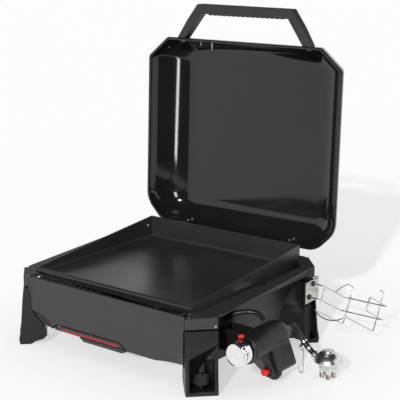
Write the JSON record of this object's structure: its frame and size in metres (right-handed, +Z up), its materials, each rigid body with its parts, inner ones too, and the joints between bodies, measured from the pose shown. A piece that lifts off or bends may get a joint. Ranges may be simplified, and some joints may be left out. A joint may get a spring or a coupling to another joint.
{
  "type": "tabletop griddle",
  "caption": "Tabletop gas griddle with a hinged pillow lid, a flat steel plate, a pull-out grease tray, a side valve with a knob, and a wire cradle for its gas cylinder.",
  "frame": {"origin": "on the table, under the middle of the whole griddle with its cradle and its open lid", "axes": "+Z up, +Y towards the lid hinges, +X to the right as seen by the cook"},
  "size_m": [0.7465, 0.5966, 0.7544],
  "materials": {
    "lid_enamel": "gloss enamel",
    "black_plastic": "fine grain, matte",
    "screw_steel": "plain",
    "black_steel": "matte",
    "plate_steel": "seasoned carbon steel, satin",
    "satin_plastic": "satin",
    "body_paint": "matte",
    "galvanised": "plain",
    "stainless": "plain",
    "brass": "machined",
    "ceramic": "glazed",
    "rubber": "matte",
    "red_plastic": "moulded",
    "gloss_black": "moulded",
    "chrome": "polished",
    "cast_alloy": "die cast",
    "wire_steel": "plated wire"
  },
  "bodies": {
    "base": {"base_hinge_brackets": "black_steel", "hinge_pins": "screw_steel", "griddle_plate": "plate_steel", "shoulder": "satin_plastic", "front_panel": "body_paint", "side_panels": "body_paint", "rear_panel": "body_paint", "bottom_pan": "galvanised", "firebox_liner": "galvanised", "heat_shield": "galvanised", "vent_strip": "body_paint", "burner_tube": "stainless", "gas_orifice": "brass", "igniter_electrode": "ceramic", "leg_front_right": "black_plastic", "leg_front_left": "black_plastic", "leg_rear_right": "black_plastic", "leg_rear_left": "black_plastic", "rear_feet": "rubber", "body_screws": "screw_steel", "tray_runners": "galvanised", "grease_chute": "galvanised", "valve_housing": "black_plastic", "housing_arm": "black_plastic", "knob_collar": "gloss_black", "index_tab": "red_plastic", "gas_fitting": "black_steel", "gas_tube": "rubber", "hose_gland": "rubber", "hose": "rubber", "hose_band": "screw_steel", "match_clip": "wire_steel", "regulator_body": "cast_alloy", "regulator_disc": "chrome", "regulator_collar": "cast_alloy", "regulator_inlet": "cast_alloy", "cylinder_bracket": "wire_steel", "bracket_grommets": "rubber", "cradle_rails": "wire_steel", "cradle_hoop": "wire_steel"},
    "lid": {"lid_shell": "lid_enamel", "lid_handle": "black_plastic", "handle_screws": "screw_steel", "hinge_screws": "screw_steel", "lid_studs": "screw_steel", "lid_hinge_straps": "black_steel"},
    "stem": {"valve_stem": "stainless"},
    "knob": {"knob": "chrome"},
    "igniter": {"igniter_button": "red_plastic"},
    "tray": {"grease_tray": "body_paint", "tray_stripe": "red_plastic"},
    "wheel_right": {"leveler_screw_right": "black_plastic"},
    "wheel_left": {"leveler_screw_left": "black_plastic"},
    "pad_right": {"leveler_pad_right": "rubber"},
    "pad_left": {"leveler_pad_left": "rubber"},
    "match_holder": {"match_holder": "wire_steel"}
  },
  "joints": [
    {"name": "lid_hinge", "type": "hinge", "parent": "base", "child": "lid", "pos_m": [-0.06773, 0.19568, 0.18118], "axis": [1, 0, 0], "range_deg": [0, 95.1]},
    {"name": "valve_turn", "type": "hinge", "parent": "base", "child": "stem", "pos_m": [0.26727, -0.20632, 0.0985], "axis": [0, 1, 0], "range_deg": [0, 250]},
    {"name": "knob_push", "type": "slide", "parent": "stem", "child": "knob", "axis": [0, 1, 0], "range_m": [0, 0.003], "stiffness_N_per_m": 1500, "springref_m": -0.003},
    {"name": "igniter_push", "type": "slide", "parent": "base", "child": "igniter", "axis": [0, 1, 0], "range_m": [0, 0.004], "stiffness_N_per_m": 800, "springref_m": -0.004},
    {"name": "tray_slide", "type": "slide", "parent": "base", "child": "tray", "axis": [0, -1, 0], "range_m": [0, 0.14]},
    {"name": "wheel_right_turn", "type": "hinge", "parent": "base", "child": "wheel_right", "pos_m": [0.18468, -0.25773, 0.03], "axis": [0, 0, 1], "range_deg": [0, 1440]},
    {"name": "wheel_left_turn", "type": "hinge", "parent": "base", "child": "wheel_left", "pos_m": [-0.32015, -0.25773, 0.03], "axis": [0, 0, 1], "range_deg": [0, 1440]},
    {"name": "pad_right_lift", "type": "slide", "parent": "base", "child": "pad_right", "axis": [0, 0, -1], "range_m": [0, 0.008]},
    {"name": "pad_left_lift", "type": "slide", "parent": "base", "child": "pad_left", "axis": [0, 0, -1], "range_m": [0, 0.008]},
    {"name": "match_swing", "type": "hinge", "parent": "base", "child": "match_holder", "pos_m": [0.29452, -0.04732, 0.0667], "axis": [1, 0, 0], "range_deg": [-25, 10]}
  ],
  "couplings": [
    {"joint": "pad_right_lift", "follows": "wheel_right_turn", "m_per_rad": 0.00031831},
    {"joint": "pad_left_lift", "follows": "wheel_left_turn", "m_per_rad": 0.00031831}
  ]
}
